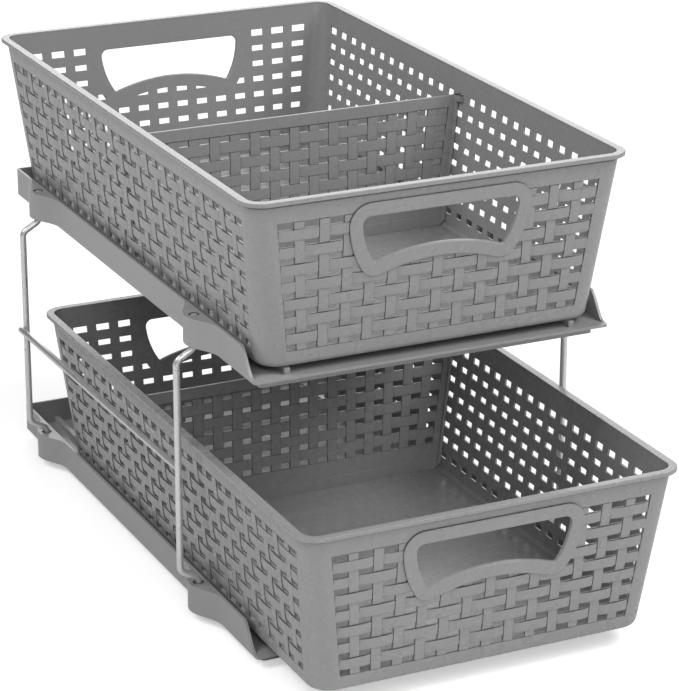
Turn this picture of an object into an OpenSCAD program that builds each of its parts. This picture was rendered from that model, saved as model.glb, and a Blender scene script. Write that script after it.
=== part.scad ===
// Two-tier pull-out cabinet organiser: two open trays stacked on bent wire
// posts, each carrying a woven-wall basket that slides out to the front.
// Millimetres, +X to the right, +Y to the back, +Z up. The origin lies on
// the surface that the organiser stands on, below the middle of the trays.

/* [Basket] */
// Width of a basket over its rim
basket_w = 290; // [260:1:330]
// Depth of a basket over its rim, front to back
basket_d = 497; // [440:1:560]
// Height of a basket from its underside to the top of its rim
basket_h = 123; // [112:0.5:140]
// Thickness of the basket walls and floor
basket_wall = 2; // [1.6:0.1:2.6]
// Outward lean of the basket walls, in degrees
wall_lean = 6.2; // [5.6:0.1:7.4]
// How far the rim stands out past the walls
rim_overhang = 4.2; // [3:0.1:6]
// Thickness of the rim
rim_t = 2.2; // [1.6:0.1:3]
// Width of the bevel round the rim's outer edges
rim_bevel = 0.5; // [0.2:0.1:0.7]
// Radius of the rim's corners, seen from above
rim_corner_r = 16.5; // [13:0.5:22]
// Radius of the walls' corners at the floor
floor_corner_r = 17; // [12:0.5:24]
// Radius of the rounded edge between walls and floor
floor_edge_r = 4.5; // [3.5:0.5:9]

/* [Woven walls] */
// Distance from the rim's side edges to the woven field of an end wall
end_field_margin = 25.5; // [22:0.1:30]
// Distance from the rim's front edge to the woven field of a side wall
side_field_margin = 26.2; // [23:0.1:32]
// Depth of the first row of holes below the top of the rim
first_row_depth = 20; // [17:0.1:21]
// Height of the last row of holes above the basket's underside
last_row_height = 14.3; // [13:0.1:18]
// Width of a hole, where the columns run straight
hole_w = 9.2; // [6:0.1:10.5]
// Height of a hole
hole_h = 4.4; // [3:0.1:6]
// Height of a hole in the first row
first_hole_h = 5.2; // [4:0.1:6]
// Rows of holes in a basket wall
hole_rows = 8; // [4:1:8]
// Columns of holes in the front and back walls
end_columns = 14; // [10:2:14]
// Columns of holes in each side wall
side_columns = 26; // [18:2:26]
// Columns at each side of a field that fan out towards the rim
fan_columns = 4; // [2.5:0.5:4.5]
// How far a field's side edge spreads from mid height to the first row
fan_spread = 5.2; // [0:0.1:6]
// How deep the woven field lies in the wall
field_recess = 0.5; // [0.2:0.1:0.8]
// Width of the recess beyond the outermost holes
field_edge = 0.5; // [0.2:0.1:1]

/* [Basket handles] */
// Width of a handle opening at its top
grip_w = 118; // [100:1:120]
// Width of a handle opening at its bottom
grip_bottom_w = 100; // [84:1:102]
// Depth of the opening's upper edge below the top of the rim
grip_top_depth = 20.5; // [18:0.5:22]
// Height of the opening at its two ends
grip_h = 34.5; // [28:0.5:36]
// Rise of the arched lower edge at mid width
grip_arch = 8.3; // [4:0.1:9]
// Radius of the opening's upper corners
grip_corner_r = 5.5; // [3:0.1:8]
// Radius of the opening's lower corners
grip_lower_corner_r = 2; // [1:0.1:3]
// Radius of the opening's bowed sides
grip_side_r = 60; // [50:1:120]
// Width of the raised border round the opening
grip_border = 10; // [7:0.5:10.5]
// How far the border stands out from the wall
grip_border_t = 1.6; // [1:0.1:2.4]

/* [Divider] */
// Thickness of a divider
divider_t = 2.4; // [2:0.1:3.4]
// Gap between a divider's ends and the basket walls
divider_gap = 0.4; // [0.2:0.1:1]
// Rows of holes in a divider
divider_rows = 6; // [3:1:6]
// Columns of holes in a divider
divider_columns = 16; // [10:2:16]
// Width of the plain band beside a divider's holes, at mid height
divider_margin = 2.8; // [2.6:0.1:8]
// Depth of a divider's first row of holes below its top edge
divider_first_row = 11.9; // [9:0.1:13]
// Height of a divider's last row of holes above the basket's underside
divider_last_row = 27; // [24:0.5:32]
// Columns at each side of a divider that fan out towards its top
divider_fan_columns = 6; // [3:0.5:7]
// How far a divider's field spreads at each side from mid height to the first row
divider_fan_spread = 4.2; // [0:0.1:4.4]
// Width of a hole in a divider
divider_hole_w = 7.6; // [5:0.1:8.5]
// Height of a hole in a divider
divider_hole_h = 4.5; // [3:0.1:6]
// Height of the thicker foot along a divider's lower edge
foot_h = 9; // [5:0.5:11]
// How far the foot stands out from the divider's face
foot_step = 0.6; // [0.3:0.1:1.5]
// Width of the upright flange along each end of a divider
flange_w = 2.4; // [1.6:0.1:4]
// How far the flanges stand out from the divider's face
flange_reach = 2.6; // [1.6:0.1:4]
// How far a locating lug reaches in from the basket wall
lug_length = 3; // [2.4:0.1:8]
// Clearance of a lug in its wall hole, at its sides and below it
lug_clearance = 0.3; // [0.1:0.05:0.6]
// Gap above a lug in its wall hole
lug_headroom = 1; // [0.6:0.1:2]
// Column strip that the upper divider stands at, counted from the middle
upper_divider_strip = 0; // [-8:1:8]
// Column strip that the lower divider stands at, counted from the middle
lower_divider_strip = 5; // [-8:1:8]

/* [Tray] */
// Gap between a basket's sides and the tray's side walls
side_play = 5; // [3:0.5:8]
// Gap between a basket's back and the tray's back wall
end_play = 2.5; // [1.5:0.5:6]
// Thickness of the tray walls
tray_wall = 2; // [1.6:0.1:2.4]
// Thickness of the tray floor
tray_floor_t = 1.8; // [1.4:0.1:3]
// Height of the tray walls above the underside of the floor
tray_wall_h = 21.2; // [16:0.2:28]
// Radius of the tray's corners, seen from above
tray_corner_r = 2.5; // [2.5:0.5:10]
// Depth of the skirt below the tray floor
skirt_h = 6.5; // [4:0.5:10]
// Inset of the skirt from the tray's sides
skirt_inset = 7.8; // [4:0.2:12]
// Inset of the skirt from the tray's front and back
skirt_end_inset = 9; // [4:0.2:14]
// Length of the slope from the top of a side wall down to the front lip
front_slope = 21; // [14:1:34]
// Length of the plain lip in front of the slope
front_lip = 4; // [2:0.5:8]
// Height of the two guide rails above the tray floor
rail_h = 4.4; // [3:0.1:6]
// Width of a guide rail
rail_w = 4.4; // [3:0.1:8]
// Distance of a guide rail's middle from the tray's side
rail_inset = 26.6; // [24:0.2:40]
// Set-back of the guide rails from the front lip
rail_setback = 6; // [4:0.5:12]

/* [Wire frames] */
// Diameter of the wire
wire_d = 5; // [4:0.1:5.6]
// Radial clearance of the wire ends in their sockets
socket_clearance = 0.1; // [0.05:0.01:0.2]
// Gap between a basket's rim and the posts
post_gap = 7.1; // [6:0.1:12]
// Distance of a socket's centre outside the tray's side
socket_offset = 4.8; // [4.4:0.1:5.2]
// Distance of the front sockets behind the front lip
front_post_setback = 93; // [80:1:120]
// Distance of the rear sockets ahead of the tray's back
rear_post_setback = 65; // [50:1:90]
// Height of one tray above the other
tier_pitch = 203.5; // [190:0.5:230]
// Height of the braces above the lower tray's underside
brace_z = 118; // [90:1:140]
// Depth of the upper wire ends below the bosses' tops
wire_end_recess = 0.5; // [0.5:0.1:4]
// Depth of the lower wire ends in their sockets
socket_depth = 17; // [10:0.5:18]
// Radius of a bend, along the wire's centre line
bend_r = 6; // [5:0.5:7]
// Slope of the short legs between posts and sockets, in degrees
leg_slope = 30; // [20:1:40]
// How far a boss stands out from the tray's side at its crest
boss_reach = 11.6; // [10.5:0.1:12.5]
// Half length of a boss along the side wall
boss_half_l = 32; // [26:1:34]

/* [Running fits] */
// Gap between a basket's underside and the guide rails
running_gap = 0.2; // [0.1:0.1:0.5]
// How far the lower basket stands pulled out
lower_pull_out = 84; // [0:1:100]

/* [Hidden] */
$fn = 48;

slice_t = 0.01;
hull_fn = 32;
curve_steps = 16;
arc_steps = 8;
cut_t = 12;
grey = [0.59, 0.59, 0.59];
metal = [0.72, 0.72, 0.70];

lean_run = tan(wall_lean);
wire_r = wire_d / 2;
weld_depth = 0.5;
bend_step = 0.01;
splice = 0.2;
floor_top = skirt_h + tray_floor_t;
seat_z = floor_top + rail_h + running_gap;
wall_top_z = skirt_h + tray_wall_h;

// Half size of a basket wall's outer face at height z, for a given rim size
function wall_half(size, z) = size / 2 - rim_overhang - (basket_h - z) * lean_run;

tray_w = 2 * (wall_half(basket_w, wall_top_z - seat_z) + side_play + tray_wall);
tray_d = 2 * (wall_half(basket_d, wall_top_z - seat_z) + end_play + tray_wall);
socket_x = tray_w / 2 + socket_offset;
post_x = basket_w / 2 + post_gap + wire_r;
front_post_y = front_post_setback - tray_d / 2;
rear_post_y = tray_d / 2 - rear_post_setback;
post_ys = [front_post_y, rear_post_y];

end_pitch = (basket_w - 2 * end_field_margin) / end_columns;
side_pitch = (basket_d - 2 * side_field_margin) / side_columns;

// ---- Shared shapes -------------------------------------------------------

module rounded_rect(w, d, r) {
    square([w - 2 * r, d], center = true);
    square([w, d - 2 * r], center = true);
    for (sx = [-1, 1], sy = [-1, 1]) {
        translate([sx * (w / 2 - r), sy * (d / 2 - r)]) circle(r);
    }
}

// Points along an arc about a centre, its end left out
function arc(centre, r, from, to) =
    [for (k = [0 : arc_steps - 1])
        let (a = from + (to - from) * k / arc_steps)
        centre + r * [cos(a), sin(a)]];

// Direction from one point to another, in degrees
function bearing(a, b) = atan2(b[1] - a[1], b[0] - a[0]);

// Both halves of a left-right pair
module both_sides() {
    children();
    mirror([1, 0, 0]) children();
}

// ---- Basket shell --------------------------------------------------------

module tub_slice(z, inset, r) {
    translate([0, 0, z])
        linear_extrude(slice_t)
            rounded_rect(2 * (wall_half(basket_w, z) - inset),
                         2 * (wall_half(basket_d, z) - inset), r, $fn = hull_fn);
}

// Solid tub with a rounded lower edge, drawn in by inset on every face
module tub(inset, top_z) {
    edge_r = floor_edge_r - inset;
    top_r = rim_corner_r - rim_overhang - inset;
    hull() {
        for (a = [0, 30, 60, 90]) {
            in = edge_r * (1 - sin(a));
            tub_slice(inset + edge_r * (1 - cos(a)), inset + in, floor_corner_r - inset - in);
        }
        tub_slice(top_z - slice_t, inset, top_r);
    }
}

module rim_slice(z, inset) {
    translate([0, 0, z])
        linear_extrude(slice_t)
            rounded_rect(basket_w - 2 * inset, basket_d - 2 * inset, rim_corner_r - inset,
                         $fn = hull_fn);
}

module rim() {
    hull() {
        rim_slice(basket_h - rim_t, rim_bevel);
        rim_slice(basket_h - rim_t + rim_bevel, 0);
        rim_slice(basket_h - rim_bevel - slice_t, 0);
        rim_slice(basket_h - slice_t, rim_bevel);
    }
}

// Places children on a wall's outer face: x along the wall, y up the wall
// from the level of the rim's top, z outwards
module on_wall(turn, size) {
    rotate([0, 0, turn])
        translate([0, rim_overhang - size / 2, basket_h])
            rotate([90 + wall_lean, 0, 0])
                children();
}

// ---- Woven field ---------------------------------------------------------

// Sideways shift, per unit of height, of the line between two columns
function fan(line, columns, fanned, spread) =
    let (past = max(0, abs(line) - columns / 2 + fanned) / fanned)
    sign(line) * past * past * spread;

function row_level(row, rows, first_v, last_v) = first_v + (last_v - first_v) * row / (rows - 1);

// Grid of holes between upright strips: columns pitch apart, rows between the
// levels first_v and last_v, holes w wide and h high, first_h high in the first
// row. The strips fan out towards the top over the fanned outermost columns.
module holes(columns, pitch, rows, first_v, last_v, w, h, first_h, fanned, spread) {
    middle_v = (first_v + last_v) / 2;
    half_v = (first_v - last_v) / 2;
    strip_w = pitch - w;
    for (row = [0 : rows - 1], k = [0 : columns - 1]) {
        half_h = (row == 0 ? first_h : h) / 2;
        polygon([for (corner = [[0, -1], [1, -1], [1, 1], [0, 1]])
            let (line = k + corner[0] - columns / 2,
                 v = row_level(row, rows, first_v, last_v) + corner[1] * half_h,
                 lean = fan(line, columns, fanned, spread) * (v - middle_v) / half_v)
            [line * pitch + lean + (0.5 - corner[0]) * strip_w, v]]);
    }
}

first_v = -first_row_depth / cos(wall_lean);
last_v = (last_row_height - basket_h) / cos(wall_lean);

module wall_holes(columns, pitch) {
    holes(columns, pitch, hole_rows, first_v, last_v, hole_w, hole_h, first_hole_h,
          fan_columns, fan_spread);
}

// Outline of the woven field: a trapezoid just outside its outer holes
module field(columns, pitch) {
    middle_v = (first_v + last_v) / 2;
    lean = 2 * fan_spread / (first_v - last_v);
    half = columns / 2 * pitch - (pitch - hole_w) / 2 + field_edge;
    top_v = first_v + first_hole_h / 2 + field_edge;
    bottom_v = last_v - hole_h / 2 - field_edge;
    top_half = half + (top_v - middle_v) * lean;
    bottom_half = half + (bottom_v - middle_v) * lean;
    polygon([[-top_half, top_v], [top_half, top_v],
             [bottom_half, bottom_v], [-bottom_half, bottom_v]]);
}

// ---- Basket handles ------------------------------------------------------

// Outline of a handle opening, or of its raised border when grown: round
// corners, sides bowed outwards and a lower edge arched upwards, all tangent
module grip_outline(grow) {
    upper = [grip_w / 2 - grip_corner_r, -grip_top_depth - grip_corner_r];
    lower = [grip_bottom_w / 2 - grip_lower_corner_r,
             grip_lower_corner_r - grip_top_depth - grip_h];
    reach = norm(upper - lower);
    upper_gap = grip_side_r - grip_corner_r;
    lower_gap = grip_side_r - grip_lower_corner_r;
    along = (upper_gap * upper_gap - lower_gap * lower_gap + reach * reach) / (2 * reach);
    across = sqrt(upper_gap * upper_gap - along * along);
    down = (lower - upper) / reach;
    side = upper + along * down + across * [down[1], -down[0]];
    arch_drop = grip_arch - grip_lower_corner_r;
    arch_r = (lower[0] * lower[0] + arch_drop * arch_drop
              - grip_lower_corner_r * grip_lower_corner_r)
             / (2 * grip_arch);
    arch = [0, grip_arch - grip_top_depth - grip_h - arch_r];
    right = concat(
        arc(upper, grip_corner_r + grow, 90, bearing(side, upper)),
        arc(side, grip_side_r + grow, bearing(side, upper), bearing(side, lower)),
        arc(lower, grip_lower_corner_r + grow, bearing(side, lower), bearing(arch, lower) - 180),
        arc(arch, arch_r - grow, bearing(arch, lower), 90));
    crest = [0, arch[1] + arch_r - grow];
    left = [for (k = [len(right) - 1 : -1 : 0]) [-right[k][0], right[k][1]]];
    polygon(concat(right, [crest], left));
}

// ---- Basket --------------------------------------------------------------

module basket() {
    difference() {
        union() {
            difference() {
                union() {
                    tub(0, basket_h - rim_t / 2);
                    rim();
                }
                tub(basket_wall, basket_h + rim_t);
                for (turn = [0, 180]) {
                    on_wall(turn, basket_d) {
                        translate([0, 0, -field_recess])
                            linear_extrude(cut_t) field(end_columns, end_pitch);
                        translate([0, 0, -cut_t / 2])
                            linear_extrude(cut_t)
                                difference() {
                                    wall_holes(end_columns, end_pitch);
                                    grip_outline(grip_border);
                                }
                    }
                }
                for (turn = [90, 270]) {
                    on_wall(turn, basket_w) {
                        translate([0, 0, -field_recess])
                            linear_extrude(cut_t) field(side_columns, side_pitch);
                        translate([0, 0, -cut_t / 2])
                            linear_extrude(cut_t) wall_holes(side_columns, side_pitch);
                    }
                }
            }
            for (turn = [0, 180]) {
                on_wall(turn, basket_d)
                    translate([0, 0, -basket_wall / 2])
                        linear_extrude(basket_wall / 2 + grip_border_t)
                            grip_outline(grip_border);
            }
        }
        for (turn = [0, 180]) {
            on_wall(turn, basket_d)
                translate([0, 0, -cut_t / 2])
                    linear_extrude(cut_t)
                        grip_outline(0);
        }
    }
}

// ---- Divider -------------------------------------------------------------

lug_h = first_hole_h - lug_clearance - lug_headroom;
lug_bottom = basket_h - first_row_depth - first_hole_h / 2 + lug_clearance;
divider_top = lug_bottom + lug_h;
function divider_half(z) = wall_half(basket_w, z) - basket_wall - divider_gap;
divider_pitch = 2 * (divider_half(divider_top / 2) - divider_margin) / divider_columns;

module divider_profile(top_z) {
    corner = floor_edge_r;
    polygon([[-divider_half(top_z), top_z], [divider_half(top_z), top_z],
             [divider_half(basket_wall + corner), basket_wall + corner],
             [divider_half(basket_wall) - corner, basket_wall],
             [corner - divider_half(basket_wall), basket_wall],
             [-divider_half(basket_wall + corner), basket_wall + corner]]);
}

module divider_flange() {
    bottom_z = basket_wall + floor_edge_r;
    polygon([[divider_half(divider_top), divider_top], [divider_half(bottom_z), bottom_z],
             [divider_half(bottom_z) - flange_w, bottom_z],
             [divider_half(divider_top) - flange_w, divider_top]]);
}

// Origin in the middle of the basket's underside; the front face lies just
// behind the wall hole in front of the given column strip
module divider(strip) {
    lug_z = lug_bottom + lug_h / 2;
    lug_w = hole_w - 2 * lug_clearance;
    lug_y = (strip - 0.5) * side_pitch;
    back_y = lug_y + lug_w / 2 + divider_t;
    outer = wall_half(basket_w, lug_z) - field_recess;
    inner = outer - basket_wall - lug_length;
    translate([0, back_y, 0])
        rotate([90, 0, 0])
            linear_extrude(divider_t)
                difference() {
                    divider_profile(divider_top);
                    holes(divider_columns, divider_pitch, divider_rows,
                          divider_top - divider_first_row, divider_last_row,
                          divider_hole_w, divider_hole_h, divider_hole_h,
                          divider_fan_columns, divider_fan_spread);
                }
    translate([0, back_y, 0])
        rotate([90, 0, 0])
            linear_extrude(divider_t + foot_step)
                divider_profile(basket_wall + foot_h);
    both_sides() {
        translate([0, back_y, 0])
            rotate([90, 0, 0])
                linear_extrude(divider_t + flange_reach)
                    divider_flange();
        translate([inner, lug_y - lug_w / 2, lug_bottom]) {
            cube([outer - inner, lug_w, lug_h]);
            cube([divider_half(lug_bottom) - inner, lug_w + divider_t / 2, lug_h]);
        }
    }
}

// ---- Tray ----------------------------------------------------------------

function swell(t) = 0.5 + 0.5 * cos(180 * t);

module boss_outline() {
    polygon(concat(
        [[-tray_wall, boss_half_l], [-tray_wall, -boss_half_l]],
        [for (k = [0 : 2 * curve_steps])
            let (t = k / curve_steps - 1)
            [boss_reach * swell(t), t * boss_half_l]]));
}

// Everything above the side walls' top edge and the slope to the front lip
module front_cut() {
    lip_y = front_lip - tray_d / 2;
    rise = wall_top_z - floor_top;
    rotate([90, 0, 90])
        translate([0, 0, -tray_w])
            linear_extrude(2 * tray_w)
                polygon(concat(
                    [[-tray_d, wall_top_z + rise], [-tray_d, floor_top]],
                    [for (k = [0 : curve_steps])
                        let (t = k / curve_steps)
                        [lip_y + t * front_slope, floor_top + rise * (1 - swell(t))]],
                    [[lip_y + front_slope, wall_top_z + rise]]));
}

module tray() {
    inner_w = tray_w - 2 * tray_wall;
    inner_d = tray_d - 2 * tray_wall;
    skirt_w = tray_w - 2 * skirt_inset;
    skirt_d = tray_d - 2 * skirt_end_inset;
    difference() {
        union() {
            translate([0, 0, skirt_h])
                linear_extrude(tray_wall_h)
                    rounded_rect(tray_w, tray_d, tray_corner_r);
            both_sides()
                for (y = post_ys) {
                    translate([tray_w / 2, y, skirt_h])
                        linear_extrude(tray_wall_h)
                            boss_outline();
                }
        }
        translate([0, 0, floor_top])
            linear_extrude(tray_wall_h)
                rounded_rect(inner_w, inner_d, tray_corner_r - tray_wall);
        front_cut();
        both_sides()
            for (y = post_ys) {
                translate([socket_x, y, 0])
                    cylinder(r = wire_r + socket_clearance, h = 2 * wall_top_z);
            }
    }
    linear_extrude(skirt_h)
        difference() {
            rounded_rect(skirt_w, skirt_d, tray_corner_r);
            rounded_rect(skirt_w - 2 * tray_wall, skirt_d - 2 * tray_wall,
                         tray_corner_r - tray_wall);
        }
    both_sides()
        translate([tray_w / 2 - rail_inset - rail_w / 2, rail_setback - tray_d / 2, floor_top])
            cube([rail_w, tray_d - rail_setback - tray_wall, rail_h]);
}

// ---- Wires ---------------------------------------------------------------

// A straight length, a hair thinner than the bends and sunk into them, so
// that the pieces of a wire join without coincident faces
module straight(a, b, sunk = splice) {
    run = b - a;
    translate(a)
        rotate([0, 0, atan2(run[1], run[0]) - 90])
            rotate([-90, 0, 0])
                translate([0, 0, -sunk])
                    cylinder(r = wire_r - bend_step, h = norm(run) + 2 * sunk);
}

// A bend that leaves point a at heading from, and turns by turn degrees
module bend(a, from, turn) {
    side = sign(turn);
    start = side > 0 ? from - 90 : from + 90 + turn;
    translate([a[0] - side * bend_r * sin(from), a[1] + side * bend_r * cos(from)])
        rotate([0, 0, start])
            rotate_extrude(angle = abs(turn))
                translate([bend_r, 0]) circle(wire_r);
}

// Right-hand post in its own upright plane: x across, y up
module post_wire() {
    turn = 90 - leg_slope;
    trim = bend_r * tan(turn / 2);
    drop = (post_x - socket_x) * tan(leg_slope);
    upper_z = tier_pitch + skirt_h - trim;
    lower_z = wall_top_z + trim;
    along = [cos(leg_slope), sin(leg_slope)] * trim;
    top = [socket_x, tier_pitch + wall_top_z - wire_end_recess];
    knee_1 = [socket_x, upper_z];
    knee_2 = [post_x, upper_z - drop];
    knee_3 = [post_x, lower_z + drop];
    knee_4 = [socket_x, lower_z];
    tip = [socket_x, wall_top_z - socket_depth];
    up = [0, trim];
    out = [along[0], -along[1]];
    straight(knee_1 + up, top);
    bend(knee_1 + up, 270, turn);
    straight(knee_1 + out, knee_2 - out);
    bend(knee_2 - out, -leg_slope, -turn);
    straight(knee_3 + up, knee_2 - up);
    bend(knee_3 + up, 270, -turn);
    straight(knee_4 + along, knee_3 - along);
    bend(knee_4 + along, 180 + leg_slope, turn);
    straight(tip, knee_4 - up);
}

module post(y) {
    translate([0, y, 0]) rotate([90, 0, 0]) post_wire();
}

// Runs from the back of the front post to the outer side of the rear post
module brace() {
    a = [post_x, front_post_y + wire_r - weld_depth];
    b = [post_x + wire_d - weld_depth, rear_post_y];
    translate([0, 0, brace_z]) straight(a, b, sunk = 0);
}

// ---- Sub-parts -----------------------------------------------------------

module lower_tray() {
    color(grey) tray();
}

module upper_tray() {
    color(grey) translate([0, 0, tier_pitch]) tray();
}

module right_front_post() {
    color(metal) post(front_post_y);
}

module right_rear_post() {
    color(metal) post(rear_post_y);
}

module right_brace() {
    color(metal) brace();
}

module left_front_post() {
    color(metal) mirror([1, 0, 0]) post(front_post_y);
}

module left_rear_post() {
    color(metal) mirror([1, 0, 0]) post(rear_post_y);
}

module left_brace() {
    color(metal) mirror([1, 0, 0]) brace();
}

module lower_basket() {
    color(grey) translate([0, -lower_pull_out, seat_z]) basket();
}

module upper_basket() {
    color(grey) translate([0, 0, tier_pitch + seat_z]) basket();
}

module lower_divider() {
    color(grey) translate([0, -lower_pull_out, seat_z]) divider(lower_divider_strip);
}

module upper_divider() {
    color(grey) translate([0, 0, tier_pitch + seat_z]) divider(upper_divider_strip);
}

lower_tray();
upper_tray();
left_front_post();
left_rear_post();
left_brace();
right_front_post();
right_rear_post();
right_brace();
lower_basket();
upper_basket();
lower_divider();
upper_divider();
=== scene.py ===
"""Visual model of a two-tier pull-out cabinet organiser.

Two open trays are stacked on bent wire posts. Each tray carries a basket with
woven walls and a woven divider. Lengths are millimetres where a comment or a
docstring doesn't say metres, and every finished mesh is in metres, in the frame
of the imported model. Wall coordinates run along the wall, up it and out of it,
from the middle of its upper edge.
"""
import logging
from collections.abc import Callable, Iterable, Sequence
from dataclasses import dataclass, field
from enum import Enum, IntEnum
from functools import cache
from math import atan2, cos, pi, radians, sin, tan
from typing import ClassVar

import bmesh
import bpy
from mathutils import Matrix, Vector


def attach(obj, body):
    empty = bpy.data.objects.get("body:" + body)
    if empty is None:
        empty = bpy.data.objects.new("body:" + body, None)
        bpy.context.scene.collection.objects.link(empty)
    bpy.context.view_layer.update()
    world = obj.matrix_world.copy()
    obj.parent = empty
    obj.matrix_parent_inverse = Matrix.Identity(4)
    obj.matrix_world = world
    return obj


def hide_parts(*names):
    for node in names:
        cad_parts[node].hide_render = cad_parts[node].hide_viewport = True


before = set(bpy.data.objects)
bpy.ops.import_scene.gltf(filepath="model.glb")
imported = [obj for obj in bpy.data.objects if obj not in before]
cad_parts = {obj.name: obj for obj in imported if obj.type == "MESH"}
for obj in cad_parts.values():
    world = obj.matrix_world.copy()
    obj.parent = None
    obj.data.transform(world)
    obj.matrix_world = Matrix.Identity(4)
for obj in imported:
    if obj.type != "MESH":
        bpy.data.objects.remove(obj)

LOG = logging.getLogger("organiser")
# Short names for the type hints
Piece = bpy.types.Object
Socket = bpy.types.NodeSocket
# Metres in a millimetre
MM = 0.001
# Places closer than this count as the same, and vertices closer than MERGE become one
NEAR = 0.01
MERGE = 0.001
# Least share of a face's normal along a direction, for a face square to it, a face
# that looks that way and a face that leans that way
SQUARE = 0.9999
FACING = 0.7
LEANING = 0.5
# Mesh attribute of the faces that get painted shade: faces in a gap, whose colour the finish darkens
# towards black to stand in for the shade there
PAINTED_SHADE = "painted_shade"
BLACK = (0.0, 0.0, 0.0, 1.0)
WHITE = (1.0, 1.0, 1.0, 1.0)


class Side(IntEnum):
    """A side of the organiser seen from its front, and the sign of its X."""

    LEFT = -1
    RIGHT = 1


class Facing(IntEnum):
    """The way a wall faces, and its turn from the front in degrees."""

    FRONT = 0
    RIGHT = 90
    REAR = 180
    LEFT = 270


# ---- Working with meshes ----------------------------------------------------


def deselect_all() -> None:
    """Deselects every object."""
    bpy.ops.object.select_all(action="DESELECT")


def make_active(obj: Piece) -> None:
    """Makes an object the only selected one and the active one.

    Args:
        obj: The object.
    """
    deselect_all()
    obj.select_set(True)
    bpy.context.view_layer.objects.active = obj


def primitive(add: Callable[..., object], size: float = 1.0, **settings: object) -> Piece:
    """Adds a primitive at the origin, as the start of a piece.

    Args:
        add: Blender's operator.
        size: The primitive's size.
        **settings: The operator's other settings.

    Returns:
        The new object.
    """
    deselect_all()
    add(size=size, location=(0.0, 0.0, 0.0), **settings)
    return bpy.context.view_layer.objects.active


def edit(obj: Piece, whole: bool = False) -> None:
    """Opens obj in edit mode.

    Args:
        obj: The mesh object to shape.
        whole: True to start with all of it selected, and not with nothing.
    """
    make_active(obj)
    bpy.ops.object.mode_set(mode="EDIT")
    bpy.ops.mesh.select_all(action="SELECT" if whole else "DESELECT")


def leave_edit() -> None:
    """Goes back to object mode."""
    bpy.ops.object.mode_set(mode="OBJECT")


def pick_faces(obj: Piece, wanted: Callable[[bmesh.types.BMFace], bool]) -> None:
    """Selects only the faces that pass a test, in edit mode.

    Args:
        obj: The object in edit mode.
        wanted: True for a face to select.
    """
    bpy.ops.mesh.select_mode(type="FACE")
    bpy.ops.mesh.select_all(action="DESELECT")
    mesh = bmesh.from_edit_mesh(obj.data)
    for face in mesh.faces:
        if wanted(face):
            face.select_set(True)
    bmesh.update_edit_mesh(obj.data)


def pick_verts(obj: Piece, wanted: Callable[[Vector], bool]) -> None:
    """Selects only the vertices whose place passes a test, in edit mode.

    Args:
        obj: The object in edit mode.
        wanted: True for the place of a vertex to select.
    """
    bpy.ops.mesh.select_mode(type="VERT")
    bpy.ops.mesh.select_all(action="DESELECT")
    mesh = bmesh.from_edit_mesh(obj.data)
    for vert in mesh.verts:
        if wanted(vert.co):
            vert.select_set(True)
    mesh.select_flush(True)
    bmesh.update_edit_mesh(obj.data)


def apply_modifier(obj: Piece, kind: str, **settings: object) -> None:
    """Adds a modifier, sets it up and applies it.

    Args:
        obj: The object to change.
        kind: Blender's type name of the modifier.
        **settings: Properties of the modifier.
    """
    make_active(obj)
    bpy.ops.object.modifier_add(type=kind)
    modifier = obj.modifiers[-1]
    for name, value in settings.items():
        setattr(modifier, name, value)
    bpy.ops.object.modifier_apply(modifier=modifier.name)


def join(parts: Sequence[Piece], name: str) -> Piece:
    """Joins objects into the first one and names it.

    Args:
        parts: The objects to join.
        name: The name of the result.

    Returns:
        The joined object.
    """
    deselect_all()
    for part in parts:
        part.select_set(True)
    bpy.context.view_layer.objects.active = parts[0]
    bpy.ops.object.join()
    parts[0].name = name
    parts[0].data.name = name
    return parts[0]


def copy_of(pattern: Piece, place: Matrix) -> Piece:
    """Copies a piece with its own mesh.

    Args:
        pattern: The piece to copy.
        place: Where the copy goes, shear and scale included.

    Returns:
        The copy, with its place in its mesh.
    """
    twin = pattern.copy()
    twin.data = pattern.data.copy()
    twin.data.transform(place)
    bpy.context.scene.collection.objects.link(twin)
    return twin


def discard(objects: Iterable[Piece]) -> None:
    """Removes objects that were only patterns or cutters."""
    for obj in list(objects):
        bpy.data.objects.remove(obj, do_unlink=True)


def finish_surface(obj: Piece, angle: float = 32.0) -> None:
    """Turns the faces outwards and smooths across the shallow edges.

    Args:
        obj: The piece to finish.
        angle: Edges sharper than this, in degrees, stay sharp.
    """
    edit(obj, whole=True)
    bpy.ops.mesh.normals_make_consistent(inside=False)
    leave_edit()
    bpy.ops.object.shade_smooth_by_angle(angle=radians(angle))
    apply_modifier(obj, "WEIGHTED_NORMAL", keep_sharp=True)


def paint_gap_shade(obj: Piece, deep: Callable[[bpy.types.MeshPolygon], bool]) -> None:
    """Marks the faces that lie in a gap, for the finish to darken as painted shade.

    Args:
        obj: The piece.
        deep: True for a face that lies in a gap, which gets painted shade.
    """
    layer = obj.data.attributes.new(PAINTED_SHADE, "FLOAT", "FACE")
    for face in obj.data.polygons:
        layer.data[face.index].value = float(deep(face))


def box(centre: Vector, size: Vector, rounding: float) -> Piece:
    """Models a box with rounded edges.

    Args:
        centre: Its middle.
        size: Its sizes.
        rounding: Radius of its edges.

    Returns:
        The box.
    """
    cube = primitive(bpy.ops.mesh.primitive_cube_add)
    edit(cube, whole=True)
    bpy.ops.transform.resize(value=size)
    bpy.ops.transform.translate(value=centre)
    bpy.ops.mesh.bevel(offset=rounding, segments=2, affect="EDGES")
    leave_edit()
    return cube


# ---- Finishes ---------------------------------------------------------------


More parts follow.
